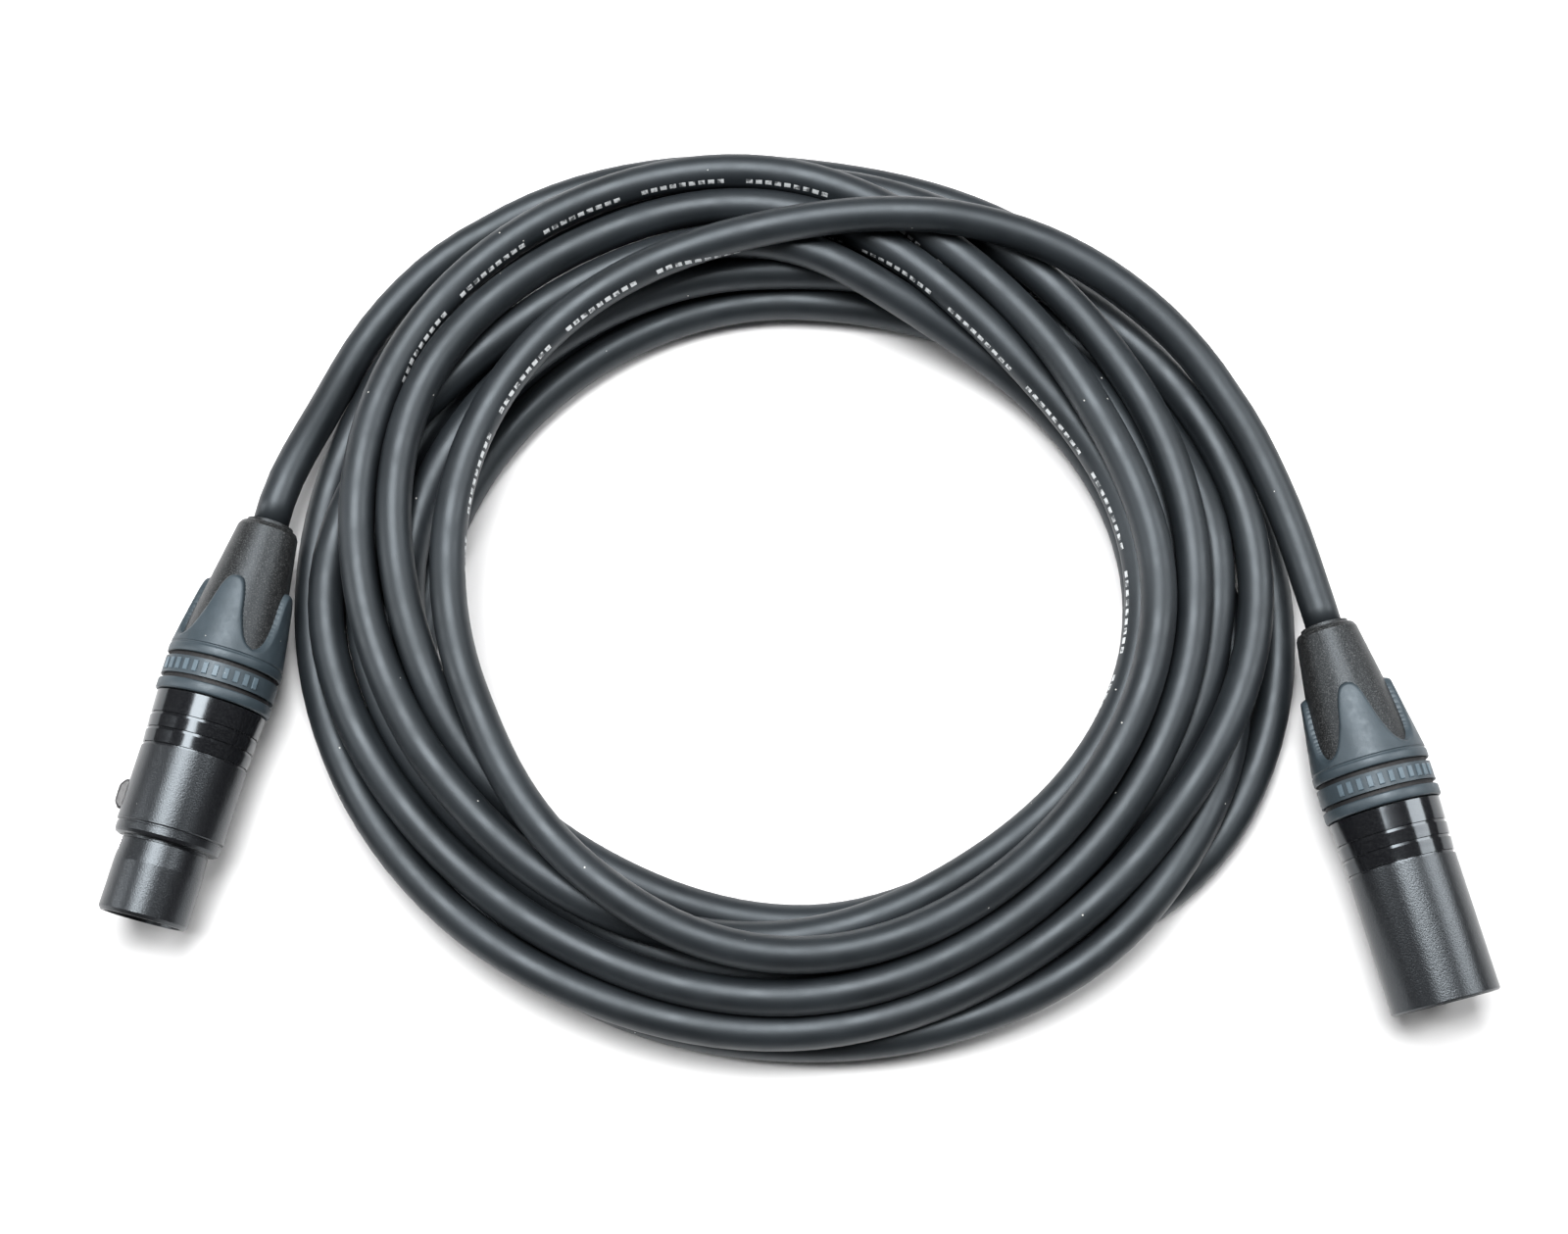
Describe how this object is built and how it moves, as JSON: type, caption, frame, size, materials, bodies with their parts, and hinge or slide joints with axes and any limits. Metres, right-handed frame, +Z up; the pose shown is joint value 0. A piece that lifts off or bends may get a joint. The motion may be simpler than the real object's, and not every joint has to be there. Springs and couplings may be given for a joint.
{
  "type": "xlr cable coil",
  "caption": "Coiled black microphone cable with a female and a male XLR connector, with screw-on boots and a sprung latch.",
  "frame": {"origin": "on the surface the coil lies on, under the centre of the whole part's box", "axes": "+X from the female connector's side of the coil to the male connector's, +Z up; both connectors point towards -Y"},
  "size_m": [0.2436, 0.1684, 0.0208],
  "materials": {
    "cable": "matte black jacket with a soft sheen",
    "shell": "satin black chrome",
    "boot": "finely textured black",
    "grip": "soft slate blue-grey",
    "insert": "smooth black",
    "contact": "gold plated",
    "steel": "bright spring steel",
    "button": "smooth black",
    "chuck": "natural white nylon",
    "white_wire": "white insulation",
    "blue_wire": "blue insulation",
    "drain": "bare copper"
  },
  "bodies": {
    "cable_and_shells": {"cable_coil": "cable", "cable_tail_female": "cable", "cable_tail_male": "cable", "female_cable_end": "cable", "male_cable_end": "cable", "female_shell": "shell", "male_shell": "shell", "female_insert": "insert", "male_insert": "insert", "female_contact_1": "contact", "female_contact_2": "contact", "female_contact_3": "contact", "male_pin_1": "contact", "male_pin_2": "contact", "male_pin_3": "contact", "female_latch_pin": "steel", "female_chuck": "chuck", "male_chuck": "chuck", "female_white_pair": "white_wire", "male_white_pair": "white_wire", "female_blue_pair": "blue_wire", "male_blue_pair": "blue_wire", "female_drain_wire": "drain", "male_drain_wire": "drain"},
    "latch": {"female_latch_lever": "steel", "female_push_button": "button", "female_latch_spring": "steel"},
    "female_ring": {"female_coding_ring": "grip"},
    "female_boot": {"female_boot_core": "boot", "female_boot_grip": "grip"},
    "male_ring": {"male_coding_ring": "grip"},
    "male_boot": {"male_boot_core": "boot", "male_boot_grip": "grip"}
  },
  "joints": [
    {"name": "latch_press", "type": "hinge", "parent": "cable_and_shells", "child": "latch", "pos_m": [-0.11403, -0.03642, 0.0105], "axis": [0, 0, 1], "range_deg": [0, 7], "stiffness_Nm_per_rad": 0.05, "springref_deg": -1.72},
    {"name": "female_ring_slide", "type": "slide", "parent": "cable_and_shells", "child": "female_ring", "axis": [0.2419, 0.9703, 0], "range_m": [0, 0.006]},
    {"name": "female_boot_screw", "type": "hinge", "parent": "female_ring", "child": "female_boot", "pos_m": [-0.10124, -0.00911, 0.0105], "axis": [0.2419, 0.9703, 0], "range_deg": [0, 1440]},
    {"name": "male_ring_slide", "type": "slide", "parent": "cable_and_shells", "child": "male_ring", "axis": [-0.2419, 0.9703, 0], "range_m": [0, 0.006]},
    {"name": "male_boot_screw", "type": "hinge", "parent": "male_ring", "child": "male_boot", "pos_m": [0.10084, -0.02831, 0.0105], "axis": [-0.2419, 0.9703, 0], "range_deg": [0, 1440]}
  ],
  "couplings": [
    {"joint": "female_ring_slide", "follows": "female_boot_screw", "m_per_rad": 0.00023873},
    {"joint": "male_ring_slide", "follows": "male_boot_screw", "m_per_rad": 0.00023873}
  ]
}
